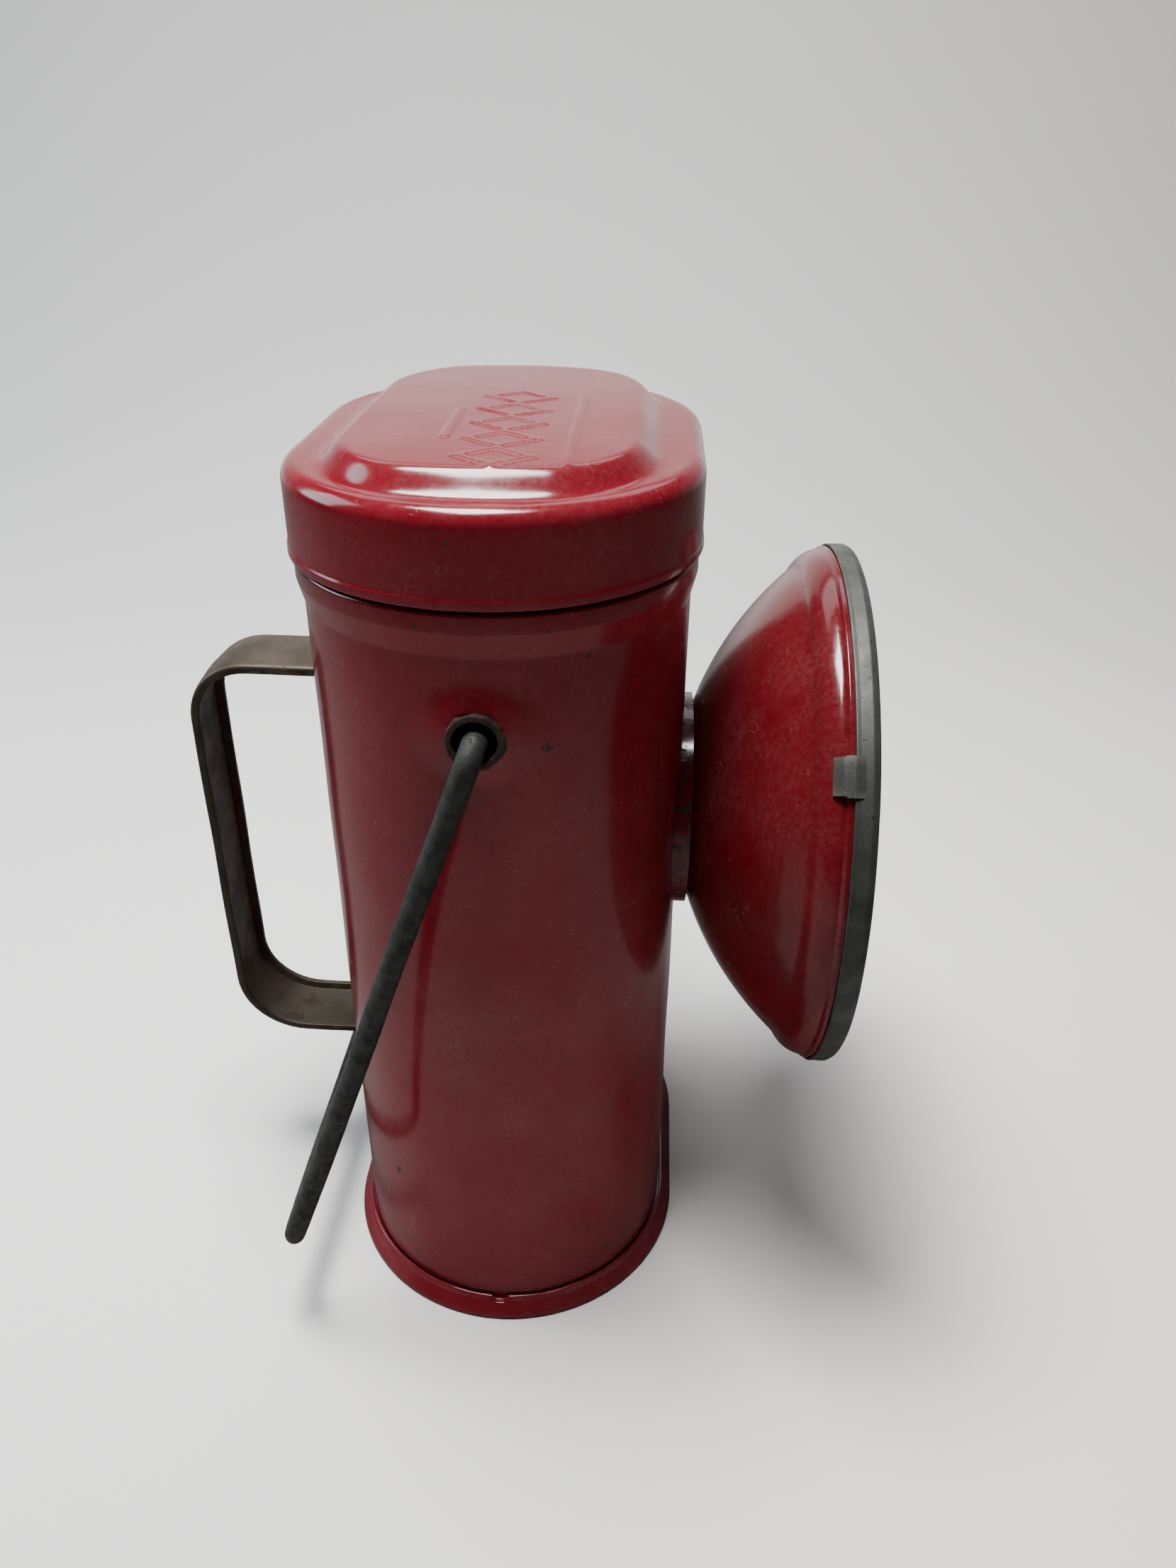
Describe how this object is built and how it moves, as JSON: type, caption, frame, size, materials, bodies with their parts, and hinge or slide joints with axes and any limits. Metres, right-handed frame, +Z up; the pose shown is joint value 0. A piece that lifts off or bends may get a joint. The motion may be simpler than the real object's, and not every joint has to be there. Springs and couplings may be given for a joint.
{
  "type": "battery hand lantern",
  "caption": "Hand lantern with an oval pressed-steel battery case, a round lamp head on one side, a carrying strap on the other, a wire bail and a lift-off lid.",
  "frame": {"origin": "middle of the foot's underside, on the surface that the lantern stands on", "axes": "+Z up; +X towards the lamp head's lens; the carrying strap is at -X; the bail pivots at -Y and +Y"},
  "size_m": [0.1381, 0.1142, 0.1898],
  "materials": {
    "red_enamel": "glossy red stoving enamel, chipped and scuffed",
    "dark_eyelet": "blackened steel with rust",
    "grey_wire": "dull grey-green zinc-coated wire",
    "tinned_strap": "dull tinned steel with rubbed edges",
    "zinc_plate": "dull zinc plate, spotted",
    "silvered": "silvered, slightly hazy",
    "lens_glass": "clear pressed glass",
    "lamp_glass": "clear blown glass",
    "gasket": "black felted rubber",
    "brass": "dull brass",
    "dark_wire": "dark drawn wire",
    "black_bakelite": "black moulded bakelite",
    "card_jacket": "plain brown card",
    "zinc_can": "drawn zinc",
    "black_mix": "black, dull",
    "pitch": "black pitch, slightly glossy",
    "pine": "plain sawn pine",
    "fibre_board": "red-brown vulcanised fibre"
  },
  "bodies": {
    "root": {"body_shell": "red_enamel", "base_pan": "red_enamel", "bail_eyelets": "dark_eyelet", "handle_strap": "tinned_strap", "handle_rivets": "tinned_strap", "head_collar": "red_enamel", "lamp_bowl": "red_enamel", "reflector": "silvered", "lens_glass": "lens_glass", "lens_gasket": "gasket", "lens_ring": "zinc_plate", "bulb_glass": "lamp_glass", "bulb_base": "brass", "bulb_filament": "dark_wire", "lamp_socket": "brass", "socket_insulator": "black_bakelite", "socket_contact": "brass", "head_rivets": "tinned_strap", "battery_jacket": "card_jacket", "battery_can": "zinc_can", "battery_mix": "black_mix", "battery_seal": "pitch", "carbon_rod": "black_mix", "carbon_post": "brass", "zinc_post": "brass", "terminal_nuts": "brass", "battery_spacer": "pine", "lamp_lead": "brass", "lead_board": "fibre_board", "switch_lead": "brass", "switch_board": "fibre_board", "switch_plate": "zinc_plate", "switch_rivets": "zinc_plate"},
    "bail": {"bail_rod": "grey_wire", "bail_retainers": "grey_wire"},
    "lid": {"lid_cap": "red_enamel", "lid_liner": "fibre_board"},
    "switch": {"switch_slider": "black_bakelite", "switch_bridge": "brass"}
  },
  "joints": [
    {"name": "bail_hinge", "type": "hinge", "parent": "root", "child": "bail", "pos_m": [0, 0, 0.1473], "axis": [0, 1, 0], "range_deg": [-2.9, 268]},
    {"name": "lid_lift", "type": "slide", "parent": "root", "child": "lid", "axis": [0, 0, 1], "range_m": [0, 0.06]},
    {"name": "switch_slide", "type": "slide", "parent": "root", "child": "switch", "axis": [0, 0, 1], "range_m": [0, 0.0068]}
  ]
}
